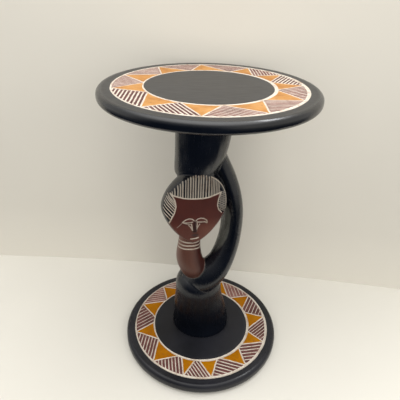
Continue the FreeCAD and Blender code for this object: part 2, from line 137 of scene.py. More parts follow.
# Height, middle X, middle Y, half width and half depth of the neck, upwards.
NECK_LEVELS = np.array([
    (146.0, -19.5, 0.0, 10.4, 10.8),
    (156.6, -19.5, -4.7, 16.1, 16.2),
    (168.7, -19.9, -10.1, 22.9, 23.2),
    (183.9, -21.8, -14.0, 26.3, 27.0),
    (199.1, -26.1, -15.6, 26.3, 27.0),
    (215.8, -28.9, -15.6, 24.4, 25.7),
    (233.0, -28.9, -14.8, 22.4, 23.8),
    (252.2, -27.7, -14.0, 21.1, 22.1),
    (275.0, -26.9, -13.3, 20.3, 21.1),
    (305.4, -25.7, -12.5, 19.8, 20.5),
])
# Heights of the neck's rings at its front, and how fast they fall to its sides.
NECK_RING_HEIGHTS = (251.7, 244.4, 237.5)
NECK_FRONT, NECK_SIDE, RING_FALL = -36.9, -10.0, 0.26
NECK_RING_WIDTH, NECK_RING_DEPTH, NECK_RING_WHITE = 1.6, 0.9, 0.8
# Edges of the hair and of the locks beside the face, across and up from its middle.
HAIRLINE = [(-45.5, 34.5), (-39.8, 31), (-30.9, 27.4), (-21.9, 24), (-11, 22), (0, 21),
            (12.8, 20.5), (23.8, 21.8), (34.8, 25.5), (46, 30)]
LEFT_LOBE_EDGE = [(-46.0, 34.5), (-42.0, 29), (-38, 20.8), (-36.1, 8.4), (-38.6, -3.7),
                  (-43.3, -13.6), (-48.5, -24.5)]
LEFT_HATCH_ENDS = [(-47.7, 33.8), (-51.9, 26.9), (-55.0, 19.5), (-56.9, 12.3), (-57.8, 5.6),
                   (-57.5, -1.8), (-55.5, -9.6), (-53.6, -14.1), (-51.1, -20.1)]
RIGHT_LOBE_EDGE = [(46, 29.5), (41.9, 16.5), (40.6, 4.2), (42.7, -4.5), (48.5, -11.8)]
# Place across and width of each stroke of the hair.
HAIR_LINES = [
    (-42.5, 2.2), (-38.2, 2.5), (-32.8, 2.6), (-28.3, 2.5), (-24.2, 2.8), (-18.8, 2.0),
    (-14.6, 2.3), (-10.0, 2.8), (-5.4, 2.7), (-0.9, 2.7), (4.2, 2.8), (8.6, 2.6),
    (13.0, 3.0), (18.2, 2.7), (23.6, 2.9), (27.8, 1.9), (30.8, 1.7), (33.8, 1.8),
    (36.8, 1.7), (39.8, 1.6), (42.6, 1.5),
]
# Each cut line of the face: half width, depth, whiteness, points across and up.
FACE_LINES = [
    (0.95, 0.7, 0.72, [(-24.0, -25.4), (-20.8, -22.6), (-16.8, -20.4), (-11.5, -19.3),
                       (-6.2, -20.4), (-2.4, -24.0)]),
    (1.05, 0.8, 0.78, [(-22.6, -26.2), (-18.0, -27.0), (-12.5, -27.4), (-5.2, -27.0)]),
    (0.7, 0.6, 0.60, [(-21.5, -27.2), (-16.0, -29.8), (-10.5, -31.2), (-7.4, -31.4)]),
    (1.05, 0.7, 0.78, [(-7.0, -31.2), (-6.2, -36.0), (-5.4, -43.8)]),
    (0.9, 0.6, 0.70, [(-12.4, -33.2), (-9.0, -36.6), (-5.8, -43.0)]),
    (0.95, 0.7, 0.72, [(0.9, -25.0), (4.3, -21.3), (10.3, -20.0), (16.4, -21.4),
                       (21.0, -25.2), (22.6, -30.2)]),
    (1.05, 0.8, 0.76, [(3.2, -27.6), (10.5, -28.4), (17.5, -28.6), (22.0, -31.0)]),
    (0.9, 0.7, 0.74, [(3.6, -30.6), (3.4, -36.0), (2.9, -42.6)]),
    (0.8, 0.6, 0.66, [(8.4, -32.4), (6.0, -36.4), (3.2, -41.8)]),
    (0.6, 0.3, 0.34, [(-34.0, -35.5), (-29.0, -31.4), (-24.4, -26.6)]),
    (1.35, 0.8, 0.92, [(-7.6, -63.0), (-1.0, -62.3), (6.0, -61.0)]),
]
# Ovals of the face: place across and up, half width, half height, and how far they stand
# out or how much painted shade they hold.
EYELID, LIPS = (13.5, -24.4, 10.0, 3.6, 1.1), (-0.8, -60.0, 9.5, 5.4, 1.7)
UNDER_EYE, OVER_MOUTH = (13.0, -30.5, 10.0, 3.6, 0.35), (0.5, -55.5, 8.5, 4.6, 0.8)
# The nose's middle, half width and rise at its root, and what they gain to its tip.
NOSE_ROOT, NOSE_LENGTH, NOSE_TIP = -22.0, 24.0, (-47.0, -49.5)
NOSE_SHAPE = ((-1.6, 0.6), (1.6, 4.2), (0.8, 3.6))
# How far back and forward of the face's middle its fine cuts reach, and the depth of
# the carver's tool marks.
FACE_BACK, FACE_FRONT, TOOL_MARKS = -26.0, 3.0, 0.35
# Masks on the column's points: stained wood, white, a tone that is painted shade in the
# wood's recesses and a lighter grey on the arm, and painted sheen on the wood.
MASKS = ("stain", "chalk", "tone", "dry")
# Hatching of the left lock: count, first height, drop to the next line, one step along
# a line and its highest end. Hatching of the right lock: count, first height and drop.
LEFT_HATCH = (8, 17.0, 4.9, (-0.75, 0.98), 33.8)
RIGHT_HATCH = (11, 30.0, 3.7)
# The edge of the lighter grey inner side of the arm: height and place across.
ARM_RIDGE = [(200.0, 8.0), (202.4, 12.2), (217.2, 24.6), (235.5, 36.8), (253.6, 44.6),
             (268.1, 48.1), (286.0, 49.2), (300.9, 49.4), (314.0, 46.0), (321.0, 40.0)]


def steady(place, scale, seed):
    """Smooth noise from -1 to 1 at a place, the same on each run."""
    return noise.noise(Vector((place[0] * scale, place[1] * scale, seed)))


def step_up(low, high, value):
    """Smooth step from 0 at low to 1 at high."""
    share = np.clip((value - low) / (high - low), 0.0, 1.0)
    return share * share * (3.0 - 2.0 * share)


def in_box(points, low, high):
    """Numbers of the points inside a box."""
    return np.nonzero(((points >= low) & (points <= high)).all(axis=1))[0]


def in_outline(points, outline):
    """Which points lie inside a closed outline."""
    inside = np.zeros(len(points), dtype=bool)
    near = in_box(points, outline.min(axis=0), outline.max(axis=0))
    x, y = points[near, 0, None], points[near, 1, None]
    (x0, y0), (x1, y1) = outline.T, np.roll(outline, -1, axis=0).T
    rise = np.where(y1 == y0, 1e-12, y1 - y0)
    crossing = ((y0 > y) != (y1 > y)) & (x < (x1 - x0) * (y - y0) / rise + x0)
    inside[near] = crossing.sum(axis=1) % 2 == 1
    return inside


def near_segment(points, start, end, reach):
    """Numbers of the points near a segment, their share along it and distance from it."""
    near = in_box(points, np.minimum(start, end) - reach, np.maximum(start, end) + reach)
    run = end - start
    share = np.clip((points[near] - start) @ run / max(run @ run, 1e-9), 0.0, 1.0)
    return near, share, np.linalg.norm(points[near] - start - share[:, None] * run, axis=1)


# Paints and other finishes


def shade(colour, factor):
    """A colour made lighter or darker, by one factor or by one for each part."""
    factors = factor if isinstance(factor, tuple) else (factor,) * 3
    return tuple(min(1.0, part * share) for part, share in zip(colour, factors))


class Nodes:
    """The nodes of a material or a world, and a short way to add to them."""

    def __init__(self, owner):
        owner.use_nodes = True
        self.nodes = owner.node_tree.nodes
        self.links = owner.node_tree.links

    def feed(self, socket, value):
        """Set an input, or join it to another node's output."""
        if isinstance(value, bpy.types.NodeSocket):
            self.links.new(value, socket)
        else:
            socket.default_value = value

    def add(self, kind, inputs=None, **settings):
        """A new node with its settings, and a value or an output for its inputs."""
        node = self.nodes.new("ShaderNode" + kind)
        for name, value in settings.items():
            setattr(node, name, value)
        for name, value in (inputs or {}).items():
            self.feed(node.inputs[name], value)
        return node

    def reckon(self, operation, *values):
        """The result of a sum."""
        return self.add("Math", dict(enumerate(values)), operation=operation).outputs["Value"]

    def measure(self, value, low, high, bottom=0.0, top=1.0):
        """A number that goes from bottom to top while a value goes from low to high."""
        return self.add("MapRange", {
            "Value": value, "From Min": low, "From Max": high, "To Min": bottom, "To Max": top,
        }).outputs["Result"]

    def ramp(self, value, stops):
        """Colours along a value."""
        node = self.add("ValToRGB", {"Fac": value})
        elements = node.color_ramp.elements
        while len(elements) < len(stops):
            elements.new(0.5)
        for element, (place, colour) in zip(elements, stops):
            element.position = place
            element.color = (*colour, 1.0)
        return node.outputs["Color"]

    def tones(self, value, paint, *stops):
        """Shades of one paint along a value."""
        return self.ramp(value, [(place, shade(paint, factor)) for place, factor in stops])

    def mix(self, share, first, second):
        """Blend two colours by a share."""
        return self.add("Mix", {0: share, 6: first, 7: second}, data_type="RGBA").outputs[2]

    def mix_numbers(self, share, first, second):
        """Blend two numbers by a share."""
        return self.add("Mix", {0: share, 2: first, 3: second}).outputs[0]

    def mix_shaders(self, share, first, second):
        """Blend two shaders by a share."""
        return self.add("MixShader", {0: share, 1: first, 2: second}).outputs["Shader"]


class Finish(Nodes):
    """The nodes of a material, over the object's own space."""

    def __init__(self, name, gloss=None):
        self.material = bpy.data.materials.new(name)
        super().__init__(self.material)
        self.shader = self.nodes["Principled BSDF"]
        self.place = self.add("TexCoord").outputs["Object"]
        if gloss is not None:
            self.feed(self.shader.inputs["Specular IOR Level"], gloss)

    def noise(self, scale, detail=3.0, stretch=(1.0, 1.0, 1.0), roughness=0.5):
        """Noise over the object's own space, stretched along its axes."""
        place = self.add("Mapping", {"Vector": self.place, "Scale": stretch})
        return self.add("TexNoise", {
            "Vector": place.outputs["Vector"], "Scale": scale, "Detail": detail,
            "Roughness": roughness,
        }).outputs["Fac"]

    def spread(self, value, low, high):
        """Map a noise's middle range onto two numbers."""
        return self.measure(value, 0.3, 0.7, low, high)

    def climb(self, low, high, bottom, top):
        """A number that goes from bottom to top between two heights."""
        height = self.add("SeparateXYZ", {"Vector": self.place}).outputs["Z"]
        return self.measure(height, low, high, bottom, top)

    def outward(self, low, high):
        """A number that goes from 0 to 1 between two distances from the axis."""
        flat = self.add("VectorMath", {0: self.place, 1: (1.0, 1.0, 0.0)}, operation="MULTIPLY")
        reach = self.add("VectorMath", {0: flat.outputs["Vector"]}, operation="LENGTH")
        return self.measure(reach.outputs["Value"], low, high)

    def bump(self, height, distance, before=None):
        """Fine unevenness of the surface, over another if there is one."""
        inputs = {"Height": height, "Distance": distance}
        if before is not None:
            inputs["Normal"] = before
        return self.add("Bump", inputs).outputs["Normal"]

    def attribute(self, name):
        """A painted mask that the mesh carries."""
        return self.add("Attribute", attribute_name=name).outputs["Fac"]

    def finish(self, colour, roughness, normal):
        """Join the parts to the shader."""
        for name, value in (
                ("Base Color", colour), ("Roughness", roughness), ("Normal", normal)):
            self.feed(self.shader.inputs[name], value)
        return self.material


def black_parts(finish, paint, stretch, smooth, rough, ridges):
    """Colour, roughness and normal of satin black paint, brushed along one axis."""
    brush = finish.noise(1.0, 4.0, stretch)
    speck = finish.noise(420.0, 2.0)
    colour = finish.tones(finish.noise(14.0, 4.0), paint, (0.3, 0.7), (0.7, 1.6))
    normal = finish.bump(brush, ridges, finish.bump(speck, 0.00003))
    return colour, finish.spread(brush, smooth, rough), normal


def chalk_parts(finish, paint):
    """Colour, roughness and normal of dry white paint rubbed into cut lines."""
    cloud = finish.noise(60.0, 4.0, roughness=0.65)
    grain = finish.noise(900.0, 2.0)
    colour = finish.tones(
        cloud, paint, (0.28, (0.62, 0.50, 0.42)), (0.47, 0.94), (0.75, 1.05))
    return colour, finish.spread(cloud, 0.9, 0.7), finish.bump(grain, 0.00015)


def black_paint(name, paint, gloss, radius):
    """Satin black paint, smoother where hands rub the rim."""
    finish = Finish(name, gloss)
    colour, flat, normal = black_parts(finish, paint, (30.0, 260.0, 60.0), 0.36, 0.44, 0.00004)
    rim = finish.spread(finish.noise(90.0), 0.20, 0.27)
    rough = finish.mix_numbers(finish.outward(radius - 0.012, radius - 0.006), flat, rim)
    return finish.finish(colour, rough, normal)


def chalk_paint(name, paint):
    """White paint in the cut lines."""
    finish = Finish(name)
    return finish.finish(*chalk_parts(finish, paint))


def ochre_paint(name, paint, gloss):
    """Ochre paint, thin and brushed by hand."""
    finish = Finish(name, gloss)
    cloud = finish.noise(26.0, 5.0, roughness=0.6)
    brush = finish.noise(1.0, 4.0, (60.0, 420.0, 60.0))
    dirt = finish.noise(150.0, 3.0)
    base = finish.tones(
        cloud, paint, (0.28, (0.72, 0.60, 0.5)), (0.52, 1.0), (0.75, (1.15, 1.25, 1.6)))
    worn = finish.ramp(dirt, [(0.0, (0.12, 0.05, 0.02)), (1.0, (0.16, 0.07, 0.03))])
    colour = finish.mix(finish.spread(dirt, -0.9, 0.35), base, worn)
    return finish.finish(colour, finish.spread(cloud, 0.62, 0.45), finish.bump(brush, 0.00018))


def ground_paint(name, paint):
    """Dark red ground under the hatching."""
    finish = Finish(name)
    cloud = finish.noise(40.0, 5.0, roughness=0.6)
    brush = finish.noise(1.0, 4.0, (420.0, 90.0, 60.0))
    colour = finish.tones(cloud, paint, (0.28, 0.55), (0.5, 1.0), (0.74, (1.5, 1.9, 1.9)))
    return finish.finish(colour, finish.spread(cloud, 0.7, 0.5), finish.bump(brush, 0.00018))


def column_paint():
    """Black paint, oiled red-brown wood and white cut lines, by the mesh's masks."""
    paints = bpy.context.scene.side_table_paints
    finish = Finish("column_paint")
    stain, chalk, tone, dry = (finish.attribute(name) for name in MASKS)
    grain = finish.noise(1.0, 5.0, (330.0, 330.0, 22.0), roughness=0.62)
    cloud = finish.noise(22.0, 3.0)
    black, black_rough, normal = black_parts(
        finish, paints.black, (150.0, 150.0, 24.0), 0.19, 0.30, 0.00008)
    # A lighter grey on the inner side of the arm, by the tone mask.
    black = finish.mix(tone, black, finish.tones(cloud, paints.arm_grey, (0.35, 0.75), (0.7, 1.2)))
    wood = finish.mix(
        finish.spread(cloud, 0.3, 0.7),
        finish.tones(grain, paints.wood, (0.3, 0.80), (0.5, 1.0), (0.72, 1.22)),
        finish.tones(cloud, paints.wood, (0.35, 0.7), (0.7, 1.4)))
    # Painted sheen: lighter wood on the lower face and the front of the neck.
    wood = finish.mix(dry, wood, finish.tones(grain, paints.sheen_wood, (0.3, 0.86), (0.72, 1.14)))
    # Painted shade: darker wood in the face's recesses and under the chin, by the tone mask.
    wood = finish.mix(tone, wood, finish.tones(cloud, paints.wood, (0.3, 0.12), (0.7, 0.28)))
    white, white_rough, _ = chalk_parts(finish, paints.old_chalk)
    colour = finish.mix(chalk, finish.mix(stain, black, wood), white)
    rough = finish.mix_numbers(stain, black_rough, finish.spread(grain, 0.36, 0.5))
    rough = finish.mix_numbers(chalk, rough, white_rough)
    # The foot's paint is duller than the rest.
    finish.feed(finish.shader.inputs["Specular IOR Level"],
                finish.climb(0.075, 0.155, 0.07, 0.63))
    return finish.finish(colour, rough, normal)


# Finishes of the nodes that stay: name, noise of the tone and noise of the surface, dark
# and light tone, roughness, depth of the unevenness and share of metal.
WOOD_GRAIN, FIBRE = (1.0, 5.0, (500.0, 500.0, 30.0)), (700.0, 6.0, (1.0, 1.0, 1.0), 0.75)
NODE_FINISHES = {
    "top_dowel": ("dowel_wood", WOOD_GRAIN, WOOD_GRAIN, (0.42, 0.25, 0.12),
                  (0.62, 0.42, 0.24), (0.6, 0.75), 0.0001, 0.0),
    "base_screw": ("screw_steel", (180.0, 3.0), (1.0, 4.0, (900.0, 120.0, 120.0)),
                   (0.30, 0.30, 0.29), (0.52, 0.52, 0.50), (0.28, 0.48), 0.00003, 1.0),
    "felt_pad": ("felt", FIBRE, FIBRE, (0.03, 0.03, 0.032), (0.11, 0.11, 0.115),
                 (0.95, 0.85), 0.0006, 0.0),
}


def node_finish(name, tone, surface, dark, light, rough, depth, metal):
    """Plain wood, steel or felt."""
    finish = Finish(name)
    finish.feed(finish.shader.inputs["Metallic"], metal)
    colour = finish.ramp(finish.noise(*tone), [(0.3, dark), (0.7, light)])
    grain = finish.noise(*surface)
    return finish.finish(colour, finish.spread(grain, *rough), finish.bump(grain, depth))


# Discs with their cut and painted bands


class CutLine:
    """A line cut into a flat face, with a half width at each of its points."""

    def __init__(self, middle, half, depth, closed=False):
        self.middle = np.array(middle, dtype=float)
        self.half = np.array(half, dtype=float)
        self.depth = depth
        self.closed = closed
        before = np.roll(self.middle, 1, axis=0)
        after = np.roll(self.middle, -1, axis=0)
        if not closed:
            before[0] = self.middle[0]
            after[-1] = self.middle[-1]
        run = after - before
        run /= np.linalg.norm(run, axis=1)[:, None]
        side = np.stack([-run[:, 1], run[:, 0]], axis=1) * self.half[:, None]
        self.left = self.middle + side
        self.right = self.middle - side

    def holds(self, points):
        """Which points lie inside the line."""
        if self.closed:
            return in_outline(points, self.right) ^ in_outline(points, self.left)
        return in_outline(points, np.concatenate([self.left, self.right[::-1]]))

    def sink(self, points):
        """How deep the cut is at each point."""
        deepest = np.zeros(len(points))
        middle, half = self.middle, self.half
        for index in range(len(middle) if self.closed else len(middle) - 1):
            after = (index + 1) % len(middle)
            near, share, off = near_segment(
                points, middle[index], middle[after], half.max() + 0.1)
            width = half[index] + share * (half[after] - half[index])
            deepest[near] = np.maximum(
                deepest[near], self.depth * np.clip(1.0 - off / width, 0.0, 1.0))
        return deepest


def polar(radius, degrees):
    """A point at a radius and an angle."""
    angle = math.radians(degrees)
    return np.array([radius * math.cos(angle), radius * math.sin(angle)])


def hand_line(start, end, width, depth, unsteady, seed):
    """A straight cut drawn by hand, with blunt tapered ends."""
    length = np.linalg.norm(end - start)
    count = max(3, int(length / CUT_STEP) + 2)
    run = (end - start) / length
    side = np.array([-run[1], run[0]])
    middle, half = [], []
    for index in range(count):
        share = index / (count - 1)
        place = start + share * (end - start)
        calm, taper = (0.3, 0.62) if index in (0, count - 1) else (1.0, 1.0)
        middle.append(place + side * steady(place, 0.11, seed) * unsteady * calm)
        half.append(width / 2 * taper * (1.0 + WOBBLE * steady(place, 0.21, seed + 40.0)))
    return CutLine(middle, half, depth)


def ring_line(radius, width, depth, seed, broader_side_and_shade):
    """A closed ring, painted unevenly and broader to one side; on the base that is painted shade.
    """
    share, side = broader_side_and_shade
    middle, half = [], []
    for index in range(RING_STEPS):
        turn = 360.0 * index / RING_STEPS
        place = polar(radius, turn)
        middle.append(place * (1.0 + 0.0022 * steady(place, 0.05, seed)))
        fuller = 1.0 + share * math.cos(math.radians(turn - side))
        half.append(width / 2 * (fuller + WOBBLE * steady(place, 0.03, seed + 9.0)))
    return CutLine(middle, half, depth, closed=True)


def clipped(start, run, inside):
    """The longest stretch of a line for which a test holds, as two points."""
    points = start + np.linspace(-80.0, 80.0, 641)[:, None] * run
    turns = np.nonzero(np.diff(np.concatenate([[0], inside(points), [0]])))[0]
    first, end = max(zip(turns[::2], turns[1::2]), key=lambda pair: pair[1] - pair[0],
                     default=(0, 0))
    return (points[first], points[end - 1]) if end - first >= SHORTEST_LINE else None


def next_triangle(rows, index):
    """Point and first corner of the triangle that follows, at rising angles."""
    point, start = rows[(index + 1) % len(rows)][:2]
    turn = 360.0 if point < rows[index][0] else 0.0
    return point + turn, start + turn


def band_lines(disc):
    """Every cut line of a disc's painted band."""
    outer, inner = disc["rings"]
    settings = bpy.context.scene.side_table_bands
    rows, seed = disc["band"], disc["seed"]
    ring_width = settings.ring_width / MM * disc["ring_share"]
    lines = [ring_line(radius, ring_width, RING_DEPTH, seed + index, disc["broader_side_and_shade"])
             for index, radius in enumerate(disc["rings"])]
    for index, (point, start, end, count, width, unsteady, _) in enumerate(rows):
        next_point, next_start = next_triangle(rows, index)
        apex = polar(outer, point)
        for corner in (start, end):
            lines.append(hand_line(
                polar(inner, corner), apex, settings.border_width / MM, BORDER_DEPTH, 0.5,
                seed + corner))
        side_from, side_to = polar(inner, next_start), polar(outer, next_point)
        field_arc = [polar(outer, point + (next_point - point) * k / 12) for k in range(13)]
        field = np.array([polar(inner, end)] + field_arc + [side_from])
        run = side_to - side_from
        run /= np.linalg.norm(run)
        away = np.array([-run[1], run[0]])
        if (field.mean(axis=0) - side_from) @ away < 0:
            away = -away
        reach = ((field - side_from) @ away).max()
        for step in range(1, count + 1):
            offset = away * reach * step / (count + 0.6)
            ends = clipped(
                side_from + offset + run * 30.0, run, lambda p: in_outline(p, field))
            if ends is not None:
                lines.append(hand_line(
                    *ends, width, HATCH_DEPTH, unsteady, seed + index * 3.1 + step))
    return lines


def in_ochre(points, disc):
    """Which points lie in an ochre triangle of the band."""
    outer, inner = disc["rings"]
    found = np.zeros(len(points), dtype=bool)
    for point, start, end, *_ in disc["band"]:
        apex = polar(outer, point)
        far = [apex + (polar(inner, corner) - apex) * 1.6 for corner in (start, end)]
        found |= in_outline(points, np.array([apex, *far]))
    return found


def in_rubbed(points, disc):
    """Which points lie in a hatched field with white rubbed over its ground."""
    degrees = np.degrees(np.arctan2(points[:, 1], points[:, 0]))
    found = np.zeros(len(points), dtype=bool)
    for index, row in enumerate(disc["band"]):
        if row[6]:
            span = next_triangle(disc["band"], index)[0] - row[0]
            found |= (degrees - row[0]) % 360.0 <= span
    return found


class FlatFace:
    """Points and edges of a flat face, for its triangles."""

    def __init__(self):
        self.points = []
        self.edges = []

    def chain(self, points, closed=False):
        """Add points joined in a row, and give their numbers."""
        first = len(self.points)
        self.points.extend((float(p[0]), float(p[1])) for p in points)
        numbers = list(range(first, len(self.points)))
        self.edges.extend(zip(numbers[:-1], numbers[1:]))
        if closed:
            self.edges.append((numbers[-1], numbers[0]))
        return numbers

    def ring(self, centre, radius, count):
        """Add a closed circle, and give its numbers."""
        return self.chain(circle(centre, radius, count), closed=True)

    def scatter(self, radius, count, turn=0.0):
        """Add loose points round the middle."""
        for k in range(count):
            self.chain([polar(radius, 360.0 * k / count + turn)])

    def add_line(self, line):
        """Add both sides, the middle and the ends of a cut line."""
        left = self.chain(line.left, line.closed)
        middle = self.chain(line.middle, line.closed)
        right = self.chain(line.right, line.closed)
        if not line.closed:
            for end in (0, -1):
                self.edges.append((left[end], middle[end]))
                self.edges.append((middle[end], right[end]))

    def triangles(self, holes):
        """Points, triangles outside the holes, their middles and where each input went."""
        found = delaunay_2d_cdt(
            [Vector(p) for p in self.points], self.edges, [], 0, 1e-4)
        points = np.array([(p.x, p.y) for p in found[0]])
        faces = np.array(found[2])
        middles = points[faces].mean(axis=1)
        keep = np.ones(len(faces), dtype=bool)
        for centre, radius in holes:
            keep &= np.linalg.norm(middles - centre, axis=1) > radius * 0.99
        place = {source: number for number, sources in enumerate(found[3]) for source in sources}
        return points, faces[keep], middles[keep], place


def circle(centre, radius, count):
    """Points round a circle."""
    return [centre + polar(radius, 360.0 * k / count) for k in range(count)]


def loop_faces(first, second):
    """Quads between two closed loops of vertices."""
    count = len(first)
    return [
        (first[k], first[(k + 1) % count], second[(k + 1) % count], second[k])
        for k in range(count)
    ]


class Shell:
    """Vertices, faces and material numbers of a disc while it is made."""

    def __init__(self):
        self.vertices, self.faces, self.kinds = [], [], []

    def loop(self, points, height):
        """Add points at one height, and give their numbers."""
        first = len(self.vertices)
        self.vertices.extend((x, y, height) for x, y in points)
        return list(range(first, len(self.vertices)))

    def wall(self, first, second):
        """Join two loops with black faces."""
        self.faces += loop_faces(first, second)
        self.kinds += [BLACK] * len(first)


def add_cut_face(shell, disc):
    """Add the upper face with its cuts, and give the loops of its edge and its holes."""
    flat_radius = disc["radius"] - disc["edge"]
    outer, inner = disc["rings"]
    lines = band_lines(disc)
    flat = FlatFace()
    rim = flat.ring(AXIS, flat_radius, RIM_STEPS)
    for line in lines:
        flat.add_line(line)
    for radius in (*np.arange(6.0, inner - 5.0, 7.0),
                   *np.arange(outer + 6.0, flat_radius - 2.0, 5.0)):
        flat.scatter(radius, max(6, int(2 * math.pi * radius / 7.0)),
                     40.0 * steady((radius, 0.0), 0.7, 2.0))
    holes = [(polar(reach, turn), radius)
             for reach, turn, radius, depth in disc["holes"] if depth is None]
    mouths = [flat.ring(*hole, HOLE_STEPS) for hole in holes]
    points, faces, middles, place = flat.triangles(holes)

    span = np.linalg.norm(middles, axis=1)
    band = (span > inner) & (span < outer)
    kinds = np.full(len(faces), BLACK)
    kinds[band] = OXBLOOD
    kinds[band & in_rubbed(middles, disc)] = RUBBED
    kinds[band & in_ochre(middles, disc)] = OCHRE
    sunk = np.zeros(len(points))
    for line in lines:
        kinds[line.holds(middles)] = CHALK
        sunk = np.maximum(sunk, line.sink(points))
    # The face waves a little beside the cuts and where they cross.
    waves = (sunk == 0.0) | (np.arange(len(points)) >= len(flat.points))
    waves &= np.linalg.norm(points, axis=1) < flat_radius - 1.0
    for number in np.nonzero(waves)[0]:
        sunk[number] += WAVE * (1.0 + steady(points[number], 0.035, disc["seed"]))
    shell.vertices = [(x, y, disc["high"] - deep) for (x, y), deep in zip(points, sunk)]
    shell.faces = [tuple(int(n) for n in face) for face in faces]
    shell.kinds = list(kinds)
    return [place[n] for n in rim], [[place[n] for n in mouth] for mouth in mouths]


def add_rim(shell, disc, loop):
    """Add the rounded rim, uneven as turned by hand, and give its lowest loop."""
    radius, edge = disc["radius"] - disc["edge"], disc["edge"]
    bends = [math.pi / 2 * k / RIM_BENDS for k in range(RIM_BENDS + 1)]
    rows = [(radius + edge * math.sin(bend), disc["high"] - edge + edge * math.cos(bend))
            for bend in bends[1:]]
    rows += [(radius + edge * math.cos(bend), disc["low"] + edge - edge * math.sin(bend))
             for bend in bends[:-1]]
    for reach, height in rows:
        spots = circle(AXIS, reach, RIM_STEPS)
        fresh = shell.loop([
            spot * (1.0 - 0.0007 * (1.0 + steady(spot, 0.02, disc["seed"] + 5.0)))
            for spot in spots], height)
        shell.wall(fresh, loop)
        loop = fresh
    return loop


def add_lower_face(shell, disc, rim, mouths):
    """Add the lower face inside the rim, and its holes up to their ends or their mouths."""
    flat_radius = disc["radius"] - disc["edge"]
    flat = FlatFace()
    edge = flat.ring(AXIS, flat_radius, RIM_STEPS)
    holes = [(polar(reach, turn), RECESS_RADIUS if depth is None else radius)
             for reach, turn, radius, depth in disc["holes"]]
    starts = [flat.ring(*hole, HOLE_STEPS) for hole in holes]
    for radius in np.arange(48.0, flat_radius - 8.0, 16.0):
        flat.scatter(radius, int(radius / 3))
    points, faces, _, place = flat.triangles(holes)
    number_of = {place[n]: rim[k] for k, n in enumerate(edge)}
    for number, point in enumerate(points):
        if number not in number_of:
            number_of[number] = shell.loop([point], disc["low"])[0]
    shell.faces += [tuple(number_of[int(n)] for n in reversed(face)) for face in faces]
    shell.kinds += [BLACK] * len(faces)
    ends = iter(mouths)
    for (centre, _), start, (_, _, radius, depth) in zip(holes, starts, disc["holes"]):
        loop = [number_of[place[n]] for n in start]
        levels = [(radius, depth)]
        if depth is None:
            levels = [(RECESS_RADIUS, RECESS_DEPTH), (radius, SINK_TOP)]
        for size, rise in levels:
            fresh = shell.loop(circle(centre, size, HOLE_STEPS), disc["low"] + rise)
            shell.wall(loop, fresh)
            loop = fresh
        if depth is None:
            shell.wall(loop, next(ends))
        else:
            shell.faces.append(tuple(loop))
            shell.kinds.append(BLACK)


def disc_shell(disc):
    """The whole surface of the top or the base."""
    shell = Shell()
    edge, mouths = add_cut_face(shell, disc)
    add_lower_face(shell, disc, add_rim(shell, disc, edge), mouths)
    return shell


def show(name, data):
    """An object of the scene for a mesh, a light or a camera."""
    thing = bpy.data.objects.new(name, data)
    bpy.context.scene.collection.objects.link(thing)
    return thing


def make_object(name, vertices, faces, slots, numbers):
    """A mesh object from millimetres, with its materials, in the row frame."""
    mesh = bpy.data.meshes.new(name)
    mesh.from_pydata([(x * MM, y * MM, z * MM) for x, y, z in vertices], [], faces)
    for material in slots:
        mesh.materials.append(material)
    mesh.polygons.foreach_set("material_index", np.array(numbers, dtype=np.int32))
    mesh.shade_smooth()
    mesh.validate()
    mesh.set_sharp_from_angle(angle=SHARP_ANGLE)
    mesh.update()
    return show(name, mesh)


def place_piece(thing, node):
    """Let a piece stand for its CAD node on the one body."""
    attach(thing, "root")
    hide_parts(node)


def build_disc(name):
    """Make the looks of the top or of the base."""
    paints = bpy.context.scene.side_table_paints
    disc = DISCS[name]
    black_gloss, ochre_gloss = disc["gloss"]
    # On the base the chalk and the ochre are darker as painted shadow from the top.
    slots = [
        black_paint(name + "_black", getattr(paints, disc["black"]), black_gloss,
                    disc["radius"] * MM),
        chalk_paint(name + "_chalk", shade(paints.chalk, disc["chalk_shade"])),
        ochre_paint(name + "_ochre", getattr(paints, disc["ochre"]), ochre_gloss),
        ground_paint("oxblood_paint", paints.oxblood),
        ground_paint("rubbed_paint", paints.rubbed),
    ]
    shell = disc_shell(disc)
    thing = make_object("painted_" + name, shell.vertices, shell.faces, slots, shell.kinds)
    place_piece(thing, name)


# Column


def line_distance(points, line):
    """Distance of each point from a polyline in space, for points near it."""
    best = np.full(len(points), 1e3)
    for start, end in zip(line[:-1], line[1:]):
        near, _, off = near_segment(points, start, end, 4.0)
        best[near] = np.minimum(best[near], off)
    return best


def resampled(points, step):
    """A polyline with points at an even step."""
    points = np.array(points, dtype=float)
    lengths = np.linalg.norm(np.diff(points, axis=0), axis=1)
    along = np.concatenate([[0.0], np.cumsum(lengths)])
    count = max(2, int(along[-1] / step) + 1)
    places = np.linspace(0.0, along[-1], count)
    return np.stack([np.interp(places, along, column) for column in points.T], axis=1)


def face_places(points):
    """Across, up and outward places of points in the face's frame."""
    off = points - np.array(FACE_MIDDLE)
    return off @ np.array(ACROSS), off[:, 2], off @ np.array(OUTWARD)


def head_excess(across, up, outward):
    """How far points lie outside the head, as a share of its size at their depth."""
    fullness = np.where(across > 0, CROWN_FULL_SIDE, CROWN_LEAN_SIDE)
    fullness = np.where(up < 0, CHIN_FULLNESS, fullness)
    rise = np.where(up < 0, CHIN_DROP, CROWN_HEIGHT)
    reach = (np.abs(across / HEAD_RADIUS) ** fullness + np.abs(up / rise) ** fullness) ** (
        1.0 / fullness)
    size = np.interp((outward + HEAD_DEPTH) / HEAD_DEPTH, HEAD_LAYER_PLACES, HEAD_LAYER_SIZES)
    return reach / size - 1.0


def neck_excess(points):
    """How far points lie outside the neck, in millimetres."""
    heights, *columns = NECK_LEVELS.T
    middle_x, middle_y, half_x, half_y = (
        np.interp(points[:, 2], heights, column) for column in columns)
    reach = np.hypot((points[:, 0] - middle_x) / half_x, (points[:, 1] - middle_y) / half_y)
    excess = (reach - 1.0) * np.minimum(half_x, half_y)
    return np.where((points[:, 2] < heights[0]) | (points[:, 2] > 300.0), 99.0, excess)


